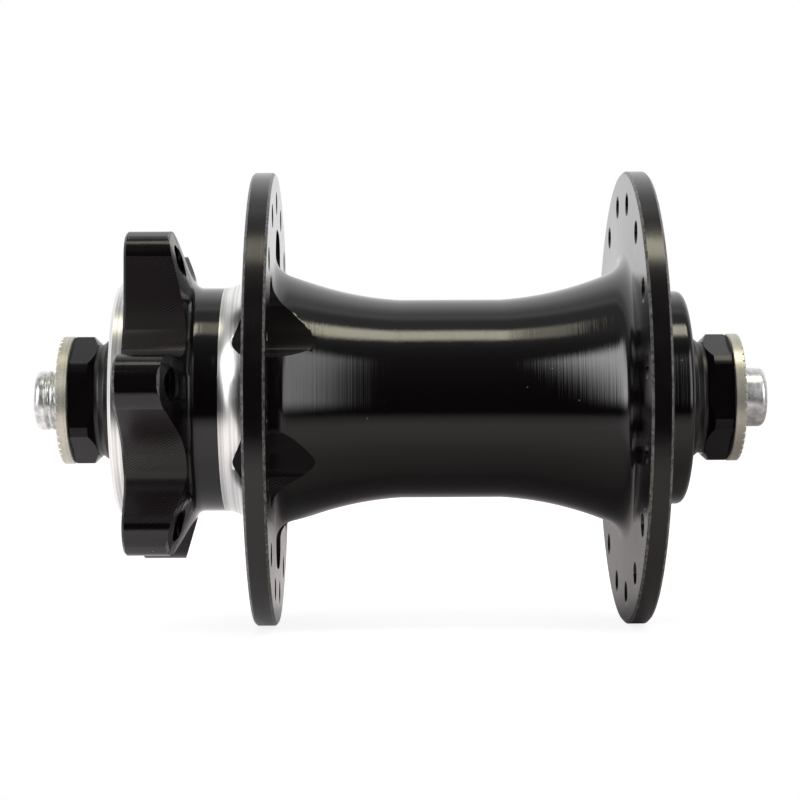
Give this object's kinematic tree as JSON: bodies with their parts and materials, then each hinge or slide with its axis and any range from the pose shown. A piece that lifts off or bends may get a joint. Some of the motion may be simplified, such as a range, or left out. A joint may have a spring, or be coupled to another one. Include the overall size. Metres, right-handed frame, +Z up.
{
  "type": "bicycle front hub",
  "caption": "Quick-release bicycle front hub for a bolted brake rotor: spoked flanges, tapered barrel, cartridge bearings and a hollow threaded axle.",
  "frame": {"origin": "on the axle's line, midway between the two faces that the fork clamps", "axes": "+Y along the axle towards the brake rotor side, +Z up"},
  "size_m": [0.067, 0.108, 0.067],
  "materials": {
    "black_anodised_aluminium": "gloss",
    "bare_aluminium": "satin",
    "zinc_plated_steel": "satin",
    "nickel_plated_steel": "satin",
    "black_oxide_steel": "gloss",
    "bearing_steel": "gloss",
    "cage_nylon": "matte",
    "seal_rubber": "matte"
  },
  "bodies": {
    "axle_unit": {"axle": "zinc_plated_steel", "bearing_spacer_sleeve": "bare_aluminium", "rotor_side_inner_race": "bearing_steel", "rotor_side_end_spacer": "black_anodised_aluminium", "rotor_side_locknut": "black_oxide_steel", "rotor_side_face_washer": "nickel_plated_steel", "plain_side_inner_race": "bearing_steel", "plain_side_end_spacer": "black_anodised_aluminium", "plain_side_locknut": "black_oxide_steel", "plain_side_face_washer": "nickel_plated_steel"},
    "shell": {"hub_shell": "black_anodised_aluminium", "rotor_side_outer_race": "bearing_steel", "rotor_side_outboard_seal": "seal_rubber", "rotor_side_inboard_seal": "seal_rubber", "plain_side_outer_race": "bearing_steel", "plain_side_outboard_seal": "seal_rubber", "plain_side_inboard_seal": "seal_rubber"},
    "rotor_side_cage": {"rotor_side_ball_cage": "cage_nylon", "rotor_side_bearing_balls": "bearing_steel"},
    "plain_side_cage": {"plain_side_ball_cage": "cage_nylon", "plain_side_bearing_balls": "bearing_steel"}
  },
  "joints": [
    {"name": "shell_spin", "type": "hinge", "parent": "axle_unit", "child": "shell", "pos_m": [0, 0, 0], "axis": [0, 1, 0], "continuous": true},
    {"name": "rotor_side_cage_spin", "type": "hinge", "parent": "axle_unit", "child": "rotor_side_cage", "pos_m": [0, 0.036, 0], "axis": [0, 1, 0], "continuous": true},
    {"name": "plain_side_cage_spin", "type": "hinge", "parent": "axle_unit", "child": "plain_side_cage", "pos_m": [0, -0.036, 0], "axis": [0, 1, 0], "continuous": true}
  ],
  "couplings": [
    {"joint": "rotor_side_cage_spin", "follows": "shell_spin", "ratio": 0.61905},
    {"joint": "plain_side_cage_spin", "follows": "shell_spin", "ratio": 0.61905}
  ]
}
